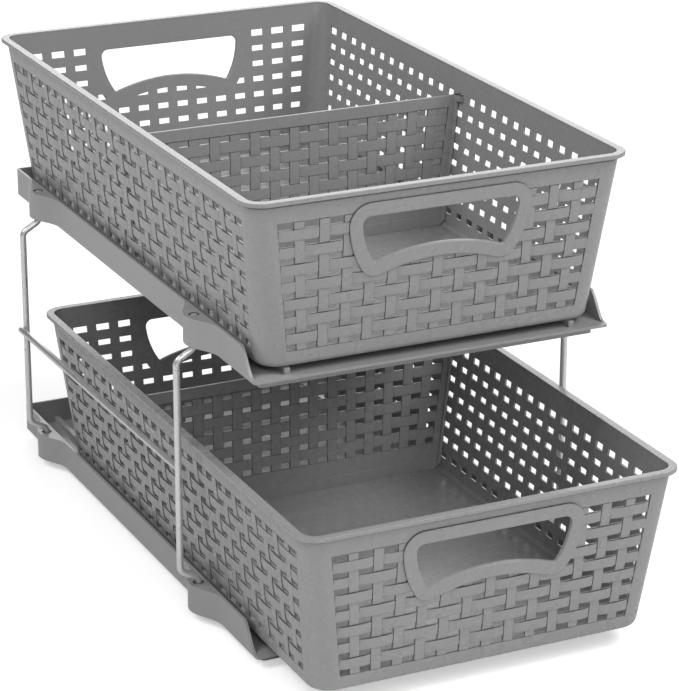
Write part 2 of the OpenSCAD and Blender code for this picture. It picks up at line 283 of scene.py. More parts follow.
class NodeSheet:
    """A material's node tree, with a shorter way to add and link nodes."""

    # Part of a noise's range that spans a finish's variation, for roughness and for colour
    SPREAD: ClassVar[tuple[float, float]] = (0.25, 0.75)
    TINT_SPREAD: ClassVar[tuple[float, float]] = (0.3, 0.7)

    def __init__(self, name: str) -> None:
        """Makes a material with a Principled shader.

        Args:
            name: The material's name.
        """
        self.material = bpy.data.materials.new(name)
        self.material.use_nodes = True
        self.tree = self.material.node_tree
        self.shader = self.tree.nodes["Principled BSDF"]

    def add(self, kind: str, **settings: object) -> bpy.types.Node:
        """Adds a node.

        Args:
            kind: Blender's node type.
            **settings: Properties of the node.

        Returns:
            The new node.
        """
        node = self.tree.nodes.new(kind)
        for name, value in settings.items():
            setattr(node, name, value)
        return node

    def link(self, source: Socket, target: Socket) -> None:
        """Links two sockets."""
        self.tree.links.new(source, target)

    def noise(self, grain: tuple[float, float], stretch: Sequence[float] = (1.0, 1.0, 1.0)) -> Socket:
        """Adds a noise texture on the object's own coordinates.

        Args:
            grain: The noise's scale, in cycles per metre, and its detail.
            stretch: Scale per axis, for grain that runs one way.

        Returns:
            The noise's factor socket.
        """
        coordinates = self.add("ShaderNodeTexCoord")
        mapping = self.add("ShaderNodeMapping")
        mapping.inputs["Scale"].default_value = stretch
        noise = self.add("ShaderNodeTexNoise")
        noise.inputs["Scale"].default_value, noise.inputs["Detail"].default_value = grain
        self.link(coordinates.outputs["Object"], mapping.inputs["Vector"])
        self.link(mapping.outputs["Vector"], noise.inputs["Vector"])
        return noise.outputs["Fac"]

    def times(self, source: Socket, factor: float) -> Socket:
        """Multiplies a socket by a number.

        Args:
            source: The socket.
            factor: The number.

        Returns:
            The product's socket.
        """
        node = self.add("ShaderNodeMath", operation="MULTIPLY")
        node.inputs[1].default_value = factor
        self.link(source, node.inputs[0])
        return node.outputs["Value"]

    def vary_roughness(self, factor: Socket, low: float, high: float) -> None:
        """Lets the shader's roughness follow a factor.

        Args:
            factor: The socket to follow.
            low: Roughness at the low end of the factor's spread.
            high: Roughness at its high end.
        """
        node = self.add("ShaderNodeMapRange")
        node.inputs["From Min"].default_value, node.inputs["From Max"].default_value = self.SPREAD
        node.inputs["To Min"].default_value = low
        node.inputs["To Max"].default_value = high
        self.link(factor, node.inputs["Value"])
        self.link(node.outputs["Result"], self.shader.inputs["Roughness"])

    def tint(self, factor: Socket, tone: float, dark: Sequence[float],
             light: Sequence[float]) -> Socket:
        """Varies a grey tone by a factor.

        Args:
            factor: The socket to follow.
            tone: The middle tone, linear.
            dark: Red, green and blue at the low end of the factor's spread, as shares of the tone.
            light: The same at its high end.

        Returns:
            The colour socket.
        """
        ramp = self.add("ShaderNodeValToRGB")
        for stop, position, shares in zip(ramp.color_ramp.elements, self.TINT_SPREAD, (dark, light)):
            stop.position = position
            stop.color = (*(tone * share for share in shares), 1.0)
        self.link(factor, ramp.inputs["Fac"])
        return ramp.outputs["Color"]

    def emboss(self, height: Socket, depth: float, strength: float) -> None:
        """Gives the shader's surface a fine relief.

        Args:
            height: The height socket.
            depth: Depth of the relief, in metres.
            strength: Strength of the bump.
        """
        node = self.add("ShaderNodeBump")
        node.inputs["Distance"].default_value = depth
        node.inputs["Strength"].default_value = strength
        self.link(height, node.inputs["Height"])
        self.link(node.outputs["Normal"], self.shader.inputs["Normal"])


@dataclass(frozen=True)
class MouldedPlastic:
    """Satin grey polypropylene with a fine spark-eroded grain, and painted shade on faces marked as lying
    in a gap.
    """

    name: str
    tone: float
    roughness: float = 0.27
    smoother: float = 0.015
    rougher: float = 0.025
    dark: tuple[float, float, float] = (0.98, 0.982, 0.986)
    light: tuple[float, float, float] = (1.02, 1.019, 1.016)
    # Scale and detail of the changes in tone, of the wear and of the grain
    flow: tuple[float, float] = (14.0, 3.0)
    wear: tuple[float, float] = (90.0, 4.0)
    grain: tuple[float, float] = (1500.0, 2.0)
    grain_depth: float = 0.00005
    grain_strength: float = 0.2
    # Share by which faces marked as lying in a gap are darkened towards black: painted shade
    painted_shade_depth: float = 0.65

    def material(self) -> bpy.types.Material:
        """Makes the finish's material.

        Returns:
            The material.
        """
        sheet = NodeSheet(self.name)
        skin = sheet.tint(sheet.noise(self.flow), self.tone, self.dark, self.light)
        # Faces marked as lying in a gap are darkened towards black: painted shade standing in for the
        # shade in gaps
        painted_shade = sheet.add("ShaderNodeAttribute", attribute_name=PAINTED_SHADE)
        shade = sheet.add("ShaderNodeMix", data_type="RGBA")
        shade.inputs["B"].default_value = BLACK
        sheet.link(sheet.times(painted_shade.outputs["Fac"], self.painted_shade_depth), shade.inputs["Factor"])
        sheet.link(skin, shade.inputs["A"])
        sheet.link(shade.outputs["Result"], sheet.shader.inputs["Base Color"])
        sheet.vary_roughness(sheet.noise(self.wear), self.roughness - self.smoother,
                             self.roughness + self.rougher)
        sheet.emboss(sheet.noise(self.grain), self.grain_depth, self.grain_strength)
        return sheet.material


@dataclass(frozen=True)
class LacqueredWire:
    """Drawn steel wire under a thin silver-grey lacquer."""

    name: str
    tone: float
    metallic: float = 0.6
    roughness: float = 0.3
    smoother: float = 0.06
    rougher: float = 0.08
    dark: tuple[float, float, float] = (0.93, 0.93, 0.925)
    light: tuple[float, float, float] = (1.05, 1.05, 1.04)
    # Scale and detail of the drawing marks and of the lacquer's orange peel
    drawn: tuple[float, float] = (60.0, 4.0)
    drawn_stretch: tuple[float, float, float] = (9.0, 1.0, 1.0)
    peel: tuple[float, float] = (700.0, 2.0)
    peel_depth: float = 0.00004
    peel_strength: float = 0.3

    def material(self) -> bpy.types.Material:
        """Makes the finish's material.

        Returns:
            The material.
        """
        sheet = NodeSheet(self.name)
        drawn = sheet.noise(self.drawn, self.drawn_stretch)
        sheet.link(sheet.tint(drawn, self.tone, self.dark, self.light), sheet.shader.inputs["Base Color"])
        sheet.vary_roughness(drawn, self.roughness - self.smoother, self.roughness + self.rougher)
        sheet.emboss(sheet.noise(self.peel), self.peel_depth, self.peel_strength)
        sheet.shader.inputs["Metallic"].default_value = self.metallic
        return sheet.material


class Finish(Enum):
    """The organiser's finishes."""

    BASKET = MouldedPlastic("basket_grey_plastic", 0.30)
    TRAY = MouldedPlastic("tray_grey_plastic", 0.31, roughness=0.32)
    WIRE = LacqueredWire("silver_grey_wire", 0.68)

    @cache
    def material(self) -> bpy.types.Material:
        """Returns the finish's material, made on first use."""
        return self.value.material()

    def dress(self, obj: Piece) -> None:
        """Gives an object this finish in every slot.

        Args:
            obj: The object.
        """
        if not obj.data.materials:
            obj.data.materials.append(self.material())
        for slot in obj.material_slots:
            slot.material = self.material()


# ---- Outlines ---------------------------------------------------------------


def arc(centre: Vector, radius: float, start: float, end: float, steps: int) -> list[Vector]:
    """Points along an arc.

    Args:
        centre: The arc's centre.
        radius: The arc's radius.
        start: Start angle, in degrees.
        end: End angle, in degrees.
        steps: How many spans the arc has.

    Returns:
        The points, both ends included.
    """
    angles = [radians(start + (end - start) * k / steps) for k in range(steps + 1)]
    return [centre + Vector((radius * cos(a), radius * sin(a))) for a in angles]


def rounded_rectangle(half_x: float, half_y: float, radius: float, steps: int = 8) -> list[Vector]:
    """Outline of a rectangle with round corners, anticlockwise.

    Args:
        half_x: Half its width.
        half_y: Half its depth.
        radius: Radius of its corners.
        steps: Spans in each corner.

    Returns:
        The outline's points.
    """
    points: list[Vector] = []
    for turn, sx, sy in ((0, 1, 1), (90, -1, 1), (180, -1, -1), (270, 1, -1)):
        centre = Vector((sx * (half_x - radius), sy * (half_y - radius)))
        points += arc(centre, radius, turn, turn + 90, steps)
    return points


def mirrored(points: Iterable[Vector]) -> list[Vector]:
    """The same points on the other side of the Y axis."""
    return [Vector((-p.x, p.y)) for p in points]


def bearing(start: Vector, end: Vector) -> float:
    """Direction from one point to another, in degrees."""
    return atan2(end.y - start.y, end.x - start.x) * 180 / pi


@dataclass(frozen=True)
class GripOutline:
    """Outline of a handle opening: round corners, bowed sides and an arched lower edge."""

    top_half: float = 59.0
    bottom_half: float = 50.0
    top: float = -20.5
    height: float = 34.5
    rise: float = 8.3
    top_radius: float = 5.5
    bottom_radius: float = 2.0
    side_radius: float = 60.0
    top_steps: int = 10
    side_steps: int = 6
    bottom_steps: int = 8
    arch_steps: int = 12

    @property
    def upper(self) -> Vector:
        """Centre of the right upper corner."""
        return Vector((self.top_half - self.top_radius, self.top - self.top_radius))

    @property
    def lower(self) -> Vector:
        """Centre of the right lower corner."""
        return Vector((self.bottom_half - self.bottom_radius,
                       self.top - self.height + self.bottom_radius))

    @property
    def side(self) -> Vector:
        """Centre of the right side's bow, which touches both corners.

        Returns:
            The centre.
        """
        upper_gap = self.side_radius - self.top_radius
        lower_gap = self.side_radius - self.bottom_radius
        down = self.lower - self.upper
        reach = down.length
        along = (upper_gap**2 - lower_gap**2 + reach**2) / (2 * reach)
        across = (upper_gap**2 - along**2) ** 0.5
        down.normalize()
        return self.upper + down * along + Vector((down.y, -down.x)) * across

    @property
    def arch_radius(self) -> float:
        """Radius of the lower edge's arch, which touches both lower corners."""
        drop = self.rise - self.bottom_radius
        return (self.lower.x**2 + drop**2 - self.bottom_radius**2) / (2 * self.rise)

    @property
    def arch(self) -> Vector:
        """Centre of the lower edge's arch."""
        return Vector((0.0, self.top - self.height + self.rise - self.arch_radius))

    def points(self, grow: float) -> list[Vector]:
        """Outline grown outwards.

        Args:
            grow: How far the outline lies outside the opening.

        Returns:
            The outline's points in wall coordinates, anticlockwise.
        """
        start, end = bearing(self.side, self.upper), bearing(self.side, self.lower)
        meet = bearing(self.arch, self.lower)
        right = (arc(self.upper, self.top_radius + grow, 90, start, self.top_steps)[:-1]
                 + arc(self.side, self.side_radius + grow, start, end, self.side_steps)[:-1]
                 + arc(self.lower, self.bottom_radius + grow, end, meet - 180, self.bottom_steps)[:-1]
                 + arc(self.arch, self.arch_radius - grow, meet, 90, self.arch_steps)[:-1])
        crest = [Vector((0.0, self.arch.y + self.arch_radius - grow))]
        return list(reversed(right + crest + mirrored(reversed(right))))

    def holds(self, point: Vector, grow: float) -> bool:
        """Tests if a point lies inside the outline, its corners taken as sharp.

        Args:
            point: The point, in wall coordinates.
            grow: How far the outline lies outside the opening.

        Returns:
            True if the point lies inside.
        """
        spot = Vector((abs(point.x), point.y))
        return (spot.y < self.top + grow
                and (spot - self.side).length < self.side_radius + grow
                and (spot - self.arch).length > self.arch_radius - grow)


def plate_from_outlines(outlines: Sequence[Sequence[Vector]], low: float, high: float,
                        rounding: float, name: str, steps: int = 0) -> Piece:
    """Models a flat plate with round edges between closed outlines.

    Args:
        outlines: The outer outline and any inner ones.
        low: Lowest level of the plate.
        high: Highest level of the plate.
        rounding: Radius of its edges.
        name: The name of the result.
        steps: Extra spans in each rounded edge.

    Returns:
        The plate.
    """
    curve = bpy.data.curves.new(name, "CURVE")
    curve.dimensions = "2D"
    curve.fill_mode = "BOTH"
    for outline in outlines:
        spline = curve.splines.new("POLY")
        spline.points.add(len(outline) - 1)
        for point, place in zip(spline.points, outline):
            point.co = (place.x, place.y, 0.0, 1.0)
        spline.use_cyclic_u = True
    curve.offset = -rounding
    curve.bevel_depth = rounding
    curve.bevel_resolution = steps
    curve.extrude = (high - low) / 2 - rounding
    obj = bpy.data.objects.new(name, curve)
    bpy.context.scene.collection.objects.link(obj)
    make_active(obj)
    bpy.ops.object.convert(target="MESH")
    obj = bpy.context.view_layer.objects.active
    obj.data.transform(Matrix.Translation((0.0, 0.0, (low + high) / 2)))
    edit(obj, whole=True)
    bpy.ops.mesh.remove_doubles(threshold=MERGE)
    bpy.ops.mesh.normals_make_consistent(inside=False)
    leave_edit()
    return obj


# ---- Woven fields -----------------------------------------------------------


@dataclass(frozen=True)
class Weave:
    """Grid of holes and strips of a woven field, in wall coordinates.

    Columns and vertical strips are numbered from the middle, rows and horizontal strips from
    the top. The outer fan_columns columns at each end lean outwards, the field's ends by fan
    at the top row. over_first is the first horizontal strip that the middle vertical strip
    passes over.
    """

    columns: int
    rows: int
    column_pitch: float
    row_pitch: float
    first_row: float
    hole_w: float
    hole_h: float
    top_hole_h: float
    fan: float
    fan_columns: float
    over_first: int = 1

    @property
    def strip_w(self) -> float:
        """Width of a vertical strip."""
        return self.column_pitch - self.hole_w

    @property
    def strip_h(self) -> float:
        """Height of a horizontal strip."""
        return self.row_pitch - self.hole_h

    @property
    def top(self) -> float:
        """Level of the field's upper edge."""
        return self.row_edges(0)[1]

    @property
    def bottom(self) -> float:
        """Level of the field's lower edge."""
        return self.row_edges(self.rows - 1)[0]

    @property
    def last(self) -> float:
        """Number of the outermost hole column."""
        return (self.columns - 1) / 2

    @property
    def outer(self) -> int:
        """Number of the outermost vertical strip."""
        return int(self.last - 0.5)

    def row(self, k: float) -> float:
        """Level of hole row k."""
        return self.first_row - k * self.row_pitch

    def row_edges(self, k: int) -> tuple[float, float]:
        """Lower and upper edge of hole row k."""
        half = self.top_hole_h / 2 if k == 0 else self.hole_h / 2
        return self.row(k) - half, self.row(k) + half

    def line(self, u: float, v: float) -> float:
        """Finds the line between two columns, which the leaning columns follow.

        Args:
            u: The line's number, 0 in the middle.
            v: The level.

        Returns:
            The line's place along the wall at that level.
        """
        middle = self.row((self.rows - 1) / 2)
        past = max(0.0, abs(u) - self.columns / 2 + self.fan_columns) / self.fan_columns
        lean = (1 if u > 0 else -1) * past**2 * self.fan
        return u * self.column_pitch + lean * (v - middle) / (self.row(0) - middle)

    def edges_of(self, u: float, v: float) -> tuple[float, float]:
        """Left and right edge of hole column u at level v."""
        return self.line(u - 0.5, v) + self.strip_w / 2, self.line(u + 0.5, v) - self.strip_w / 2

    def hole(self, u: float, k: int) -> list[Vector]:
        """Outline of a hole.

        Args:
            u: Number of its column.
            k: Number of its row.

        Returns:
            The outline's points, anticlockwise.
        """
        low, high = self.row_edges(k)
        (left_low, right_low), (left_high, right_high) = self.edges_of(u, low), self.edges_of(u, high)
        return [Vector((left_low, low)), Vector((right_low, low)),
                Vector((right_high, high)), Vector((left_high, high))]

    def holes(self) -> list[list[Vector]]:
        """Outlines of all the holes, row by row."""
        return [self.hole(u - self.last, k) for k in range(self.rows) for u in range(self.columns)]

    def field(self, grow: float) -> list[Vector]:
        """Outline of the woven field.

        Args:
            grow: How far the outline lies outside the outer holes.

        Returns:
            The outline's points, from the right lower corner on, anticlockwise.
        """
        high, low = self.top + grow, self.bottom - grow
        top_half = self.edges_of(self.last, high)[1] + grow
        bottom_half = self.edges_of(self.last, low)[1] + grow
        right = [Vector((bottom_half, low)), Vector((top_half, high))]
        return right + mirrored(reversed(right))

    def vertical_over(self, u: int, k: int) -> bool:
        """True where vertical strip u passes over horizontal strip k."""
        return (abs(u) + k + self.over_first) % 2 == 0


@dataclass(frozen=True)
class Relief:
    """Heights of the woven strips over the plain border, and the grooves beside them."""

    vertical_crest: float = 0.1
    horizontal_crest: float = 0.5
    dip: float = -0.5
    groove: float = 0.3


@dataclass
class WovenStrips:
    """Strips of one woven field, laid over and under one another."""

    # Spans across and along a strip, and how its rows of vertices dip from each end inwards:
    # shift outwards in strip lengths, and share of the dip
    LANES: ClassVar[int] = 3
    SPANS: ClassVar[int] = 6
    DIPS: ClassVar[tuple[tuple[float, float], ...]] = ((0.0, 1.0), (0.085, 0.5), (0.13, 0.12))

    weave: Weave
    place: Matrix
    relief: Relief
    thickness: float = 0.5
    shoulder_w: float = 0.45
    shoulder_drop: float = 0.2
    tuck: float = 1.0
    grip_margin: float = 4.0

    def __post_init__(self) -> None:
        """Models one pattern of each kind of strip, to be copied to the crossings."""
        relief = self.relief
        narrow = self.weave.strip_w - 2 * relief.groove
        shallow = self.weave.strip_h - 2 * relief.groove
        self.over = self._pattern(narrow, relief.vertical_crest, False)
        self.from_border = self._pattern(narrow, 0.0, True)
        self.across = self._pattern(shallow, relief.horizontal_crest, False)
        self.from_side = self._pattern(shallow, 0.0, True)

    def build(self, grip: GripOutline | None = None) -> Piece:
        """Lays the strips.

        Args:
            grip: A handle opening that ends the strips around it.

        Returns:
            All the strips as one object.
        """
        strips: list[Piece] = []
        for k in range(self.weave.rows - 1):
            for u in range(-self.weave.outer, self.weave.outer + 1):
                strips += self._crossing(u, k)
        woven = join(strips, "strips")
        if grip is not None:
            back = self.place.inverted()
            edit(woven)
            pick_verts(woven, lambda co: grip.holds((back @ co).to_2d(), self.grip_margin))
            bpy.ops.mesh.delete(type="VERT")
            leave_edit()
        discard((self.over, self.from_border, self.across, self.from_side))
        return woven

    def _pattern(self, width: float, crest: float, meets_border: bool) -> Piece:
        """Models a strip one unit long, along Y: flat, with ends that dip.

        Args:
            width: Width of the strip.
            crest: Level of its middle.
            meets_border: True if its +Y end stays level, to meet the plain border.

        Returns:
            The pattern.
        """
        strip = primitive(bpy.ops.mesh.primitive_grid_add, x_subdivisions=self.LANES,
                          y_subdivisions=self.SPANS)
        edit(strip, whole=True)
        bpy.ops.transform.resize(value=(width, 1.0, 1.0))
        bpy.ops.transform.translate(value=(0.0, 0.0, crest))
        pick_verts(strip, lambda co: abs(co.x) > width / self.LANES)
        bpy.ops.transform.translate(value=(0.0, 0.0, -self.shoulder_drop))
        pick_verts(strip, lambda co: abs(co.x) < width / self.LANES)
        bpy.ops.transform.resize(value=((width - 2 * self.shoulder_w) * self.LANES / width, 1.0, 1.0))
        drop = crest - self.relief.dip
        for k, (shift, share) in enumerate(self.DIPS):
            for end, depth in ((-1, drop), (1, 0.0 if meets_border else drop)):
                row = end * (0.5 - k / self.SPANS)
                pick_verts(strip, lambda co, y=row: abs(co.y - y) < NEAR)
                bpy.ops.transform.translate(value=(0.0, end * shift, -depth * share))
        leave_edit()
        apply_modifier(strip, "SOLIDIFY", thickness=self.thickness, offset=-1.0)
        # The strip's sides get painted shade, standing in for the shade between the strips
        paint_gap_shade(strip, lambda face: abs(face.normal.x) > FACING)
        return strip

    def _crossing(self, u: int, k: int) -> list[Piece]:
        """Lays what shows of the strips at one crossing.

        Args:
            u: Number of the vertical strip.
            k: Number of the horizontal strip.

        Returns:
            The pieces of strip.
        """
        weave = self.weave
        under_low, high = weave.row_edges(k)
        low, under_high = weave.row_edges(k + 1)
        middle = (under_high + under_low) / 2
        over = weave.vertical_over(u, k)
        pieces = []
        if k == 0:
            start = low if over else under_low - self.tuck
            pieces.append(self._vertical(u, start, high, self.from_border))
        if k == weave.rows - 2:
            start = high if over else under_high + self.tuck
            pieces.append(self._vertical(u, start, low, self.from_border))
        if over and not pieces:
            pieces.append(self._vertical(u, low, high, self.over))
        if over and abs(u) == weave.outer:
            side = 1 if u > 0 else -1
            start = weave.line(u, middle) + side * (weave.strip_w / 2 - self.tuck)
            end = side * (weave.edges_of(weave.last, middle)[1] + self.tuck / 2)
            pieces.append(self._horizontal(start, end, middle, self.from_side))
        if not over:
            left, right = weave.edges_of(u - 0.5, middle)[0], weave.edges_of(u + 0.5, middle)[1]
            pieces.append(self._horizontal(left, right, middle, self.across))
        return pieces

    def _vertical(self, u: int, start: float, end: float, pattern: Piece) -> Piece:
        """Copies a piece of vertical strip u into the field.

        Args:
            u: Number of the strip.
            start: Level of the pattern's first end.
            end: Level of its second end.
            pattern: The pattern to copy.

        Returns:
            The copy.
        """
        middle = (start + end) / 2
        lean = self.weave.line(u, end) - self.weave.line(u, start)
        local = Matrix(((1, lean, 0, self.weave.line(u, middle)), (0, end - start, 0, middle),
                        (0, 0, 1, 0), (0, 0, 0, 1)))
        return copy_of(pattern, self.place @ local)

    def _horizontal(self, start: float, end: float, v: float, pattern: Piece) -> Piece:
        """Copies a piece of horizontal strip at level v into the field, from start to end."""
        local = Matrix(((0, end - start, 0, (start + end) / 2), (1, 0, 0, v), (0, 0, 1, 0), (0, 0, 0, 1)))
        return copy_of(pattern, self.place @ local)


# ---- Mouldings --------------------------------------------------------------


class Moulding:
    """A plastic piece, modelled in millimetres about its own origin."""

    finish: ClassVar[Finish] = Finish.BASKET
    slot: ClassVar[str] = "basket_plastic"

    def install(self, obj: Piece, place: Vector, body: str, node: str) -> None:
        """Moves a piece to its place in metres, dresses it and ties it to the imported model.

        Args:
            obj: The piece.
            place: Where its own origin goes.
            body: The body that it moves with.
            node: The node that it stands for.
        """
        obj.data.transform(Matrix.Scale(MM, 4) @ Matrix.Translation(place))
        self.finish.dress(obj)
        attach(obj, body)
        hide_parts(node)
        LOG.info("%s: %d faces", obj.name, len(obj.data.polygons))


@dataclass(frozen=True)
class BasketWall:
    """One wall of a basket: the way it faces, the basket's size across it, and its weave."""

    facing: Facing
    size: float
    weave: Weave
    grip: GripOutline | None = None


@dataclass
class Basket(Moulding):
    """Open-topped basket with woven walls, a flanged rim and two handle openings."""

    width: float = 290.0
    depth: float = 497.0
    height: float = 123.0
    wall: float = 2.0
    lean: float = 6.2
    overhang: float = 4.2
    rim_t: float = 3.0
    rim_r: float = 16.5
    corner_steps: int = 8
    # Height of the band of wall under the rim that gets painted shade
    rim_shade_h: float = 2.4
    rim_edge_r: float = 0.5
    floor_r: float = 17.0
    edge_r: float = 4.5
    edge_steps: int = 4
    rows: int = 8
    end_columns: int = 14
    end_margin: float = 25.5
    side_columns: int = 26
    side_margin: float = 26.2
    first_row: float = 20.0
    last_row: float = 14.3
    hole_w: float = 9.2
    hole_h: float = 4.4
    top_hole_h: float = 5.2
    fan: float = 5.2
    fan_columns: float = 4.0
    field_edge: float = 0.5
    core_depth: float = 0.7
    core_back: float = 0.05
    core_edge_r: float = 0.12
    core_lap: float = 0.6
    hole_margin: float = 1.4
    bezel_w: float = 10.0
    bezel_t: float = 1.6
    bezel_back: float = 0.1
    bezel_r: float = 0.8
    relief: Relief = Relief()
    grip: GripOutline = GripOutline()

    def weave(self, columns: int, size: float, margin: float) -> Weave:
        """Grid of a wall.

        Args:
            columns: Hole columns along the wall.
            size: The basket's size along the wall.
            margin: From the basket's end to the field's nominal edge.

        Returns:
            The wall's weave.
        """
        slope = cos(radians(self.lean))
        pitch = (self.height - self.first_row - self.last_row) / (self.rows - 1) / slope
        return Weave(columns, self.rows, (size - 2 * margin) / columns, pitch, -self.first_row / slope,
                     self.hole_w, self.hole_h, self.top_hole_h, self.fan, self.fan_columns)

    @property
    def side_weave(self) -> Weave:
        """Grid of the side walls."""
        return self.weave(self.side_columns, self.depth, self.side_margin)

    def walls(self) -> list[BasketWall]:
        """Lists the walls.

        Returns:
            The four walls.
        """
        end, side = self.weave(self.end_columns, self.width, self.end_margin), self.side_weave
        return [BasketWall(Facing.FRONT, self.depth, end, self.grip),
                BasketWall(Facing.REAR, self.depth, end, self.grip),
                BasketWall(Facing.RIGHT, self.width, side), BasketWall(Facing.LEFT, self.width, side)]

    def place(self, wall: BasketWall) -> Matrix:
        """Places a wall on the basket.

        Args:
            wall: The wall.

        Returns:
            Wall coordinates to the basket's coordinates.
        """
        return (Matrix.Rotation(radians(wall.facing), 4, "Z")
                @ Matrix.Translation((0.0, self.overhang - wall.size / 2, self.height))
                @ Matrix.Rotation(radians(90 + self.lean), 4, "X"))

    def half(self, size: float, z: float) -> float:
        """Half size of the walls' outer faces at height z."""
        return size / 2 - self.overhang - (self.height - z) * tan(radians(self.lean))

    def build(self, name: str) -> Piece:
        """Models the basket about the middle of its underside.

        Args:
            name: The name of the result.

        Returns:
            The basket.
        """
        parts = [self._shell(), self._rim()]
        for wall in self.walls():
            place = self.place(wall)
            parts.append(WovenStrips(wall.weave, place, self.relief).build(wall.grip))
            parts.append(self._core(wall, place))
            if wall.grip is not None:
                parts.append(self._bezel(wall.grip, place))
        basket = join(parts, name)
        finish_surface(basket)
        return basket

    def _loop(self, z: float, inward: float, radius: float) -> Piece:
        """Models a level outline of the tub.

        Args:
            z: Its height.
            inward: How far it lies inside the walls' outer faces.
            radius: Radius of its corners.

        Returns:
            A closed loop of edges.
        """
        loop = primitive(bpy.ops.mesh.primitive_plane_add)
        edit(loop, whole=True)
        half_x = self.half(self.width, z) - inward
        half_y = self.half(self.depth, z) - inward
        bpy.ops.transform.resize(value=(2 * half_x, 2 * half_y, 1.0))
        bpy.ops.transform.translate(value=(0.0, 0.0, z))
        bpy.ops.mesh.bevel(offset=radius, segments=self.corner_steps, affect="VERTICES",
                           clamp_overlap=False)
        bpy.ops.mesh.select_all(action="SELECT")
        bpy.ops.mesh.delete(type="ONLY_FACE")
        leave_edit()
        return loop

    def _shell(self) -> Piece:
        """Models the tub with an open window in each wall for its weave.

        Returns:
            The tub.
        """
        loops, levels = [], []
        for k in range(self.edge_steps + 1):
            angle = radians(90 * k / self.edge_steps)
            inward = self.edge_r * (1 - sin(angle))
            levels.append(self.edge_r * (1 - cos(angle)))
            loops.append(self._loop(levels[-1], inward, self.floor_r - inward))
        # The lower of these loops bounds the band of painted shade under the rim
        for below in (self.rim_t + self.rim_shade_h, self.rim_t / 2):
            levels.append(self.height - below)
            loops.append(self._loop(levels[-1], 0.0, self.rim_r - self.overhang))
        shell = join(loops, "shell")
        edit(shell)
        for low, high in zip(levels, levels[1:]):
            pick_verts(shell, lambda co, a=low, b=high: min(abs(co.z - a), abs(co.z - b)) < NEAR)
            bpy.ops.mesh.bridge_edge_loops()
        pick_verts(shell, lambda co: abs(co.z - levels[0]) < NEAR)
        bpy.ops.mesh.edge_face_add()
        bpy.ops.mesh.select_all(action="SELECT")
        bpy.ops.mesh.normals_make_consistent(inside=False)
        for wall in self.walls():
            self._open_field(shell, wall)
        leave_edit()
        apply_modifier(shell, "SOLIDIFY", thickness=self.wall, offset=-1.0)
        # The band of the walls' outer face under the rim gets painted shade, standing in for the rim's
        # shadow
        paint_gap_shade(shell, lambda face: face.center.z > self.height - self.rim_t - self.rim_shade_h
                      and face.normal.to_2d().dot(face.center.to_2d()) > 0)
        return shell

    def _open_field(self, shell: Piece, wall: BasketWall) -> None:
        """Cuts a wall at the edges of its woven field and opens the field.

        Args:
            shell: The tub, in edit mode.
            wall: The wall to open.
        """
        place = self.place(wall)
        turn, back = place.to_3x3(), place.inverted()
        outward = (turn @ Vector((0.0, 0.0, 1.0))).normalized()
        outline = wall.weave.field(self.field_edge)
        for start, end in zip(outline, outline[1:] + outline[:1]):
            pick_faces(shell, lambda face: face.normal.dot(outward) > SQUARE)
            across = (end - start).normalized()
            bpy.ops.mesh.bisect(plane_co=place @ start.to_3d(),
                                plane_no=turn @ Vector((across.y, -across.x, 0.0)))

        def in_field(face: bmesh.types.BMFace) -> bool:
            """Tests if a face is the one in the middle of the wall's field.

            Args:
                face: The face.

            Returns:
                True if it is.
            """
            spot = back @ face.calc_center_median()
            return (face.normal.dot(outward) > SQUARE and outline[0].y < spot.y < outline[1].y
                    and abs(spot.x) < self.wall)

        pick_faces(shell, in_field)
        bpy.ops.mesh.delete(type="FACE")

    def _core(self, wall: BasketWall, place: Matrix) -> Piece:
        """Models the thin pierced sheet behind a wall's strips.

        Args:
            wall: The wall.
            place: Wall coordinates to the basket's coordinates.

        Returns:
            The sheet.
        """
        outlines = [wall.weave.field(self.field_edge + self.core_lap)]
        if wall.grip is not None:
            outlines.append(wall.grip.points(self.core_lap))
        for hole in wall.weave.holes():
            if wall.grip is None or not any(wall.grip.holds(p, self.hole_margin) for p in hole):
                outlines.append(hole)
        sheet = plate_from_outlines(outlines, self.core_back - self.wall, -self.core_depth,
                                    self.core_edge_r, "core")
        # The sheet's outer face gets painted shade, standing in for the shade behind the strips
        paint_gap_shade(sheet, lambda face: face.normal.z > FACING)
        sheet.data.transform(place)
        return sheet

    def _rim(self) -> Piece:
        """Models the flat flange round the top.

        Returns:
            The flange.
        """
        inner = self.overhang + self.wall
        return plate_from_outlines(
            [rounded_rectangle(self.width / 2, self.depth / 2, self.rim_r),
             rounded_rectangle(self.width / 2 - inner, self.depth / 2 - inner, self.rim_r - inner)],
            self.height - self.rim_t, self.height, self.rim_edge_r, "rim", steps=2)

    def _bezel(self, grip: GripOutline, place: Matrix) -> Piece:
        """Models the raised border round a handle opening.

        Args:
            grip: The opening's outline.
            place: Wall coordinates to the basket's coordinates.

        Returns:
            The border.
        """
        bezel = plate_from_outlines([grip.points(self.bezel_w), grip.points(0.0)],
                                    self.bezel_back - self.wall, self.bezel_t, self.bezel_r, "bezel",
                                    steps=2)
        # The bezel's outer sides get painted shade, a dark line standing in for the shade at its step
        paint_gap_shade(bezel, lambda face: abs(face.normal.z) < LEANING
                      and not grip.holds(face.center.to_2d(), self.bezel_w / 2))
        bezel.data.transform(place)
        return bezel


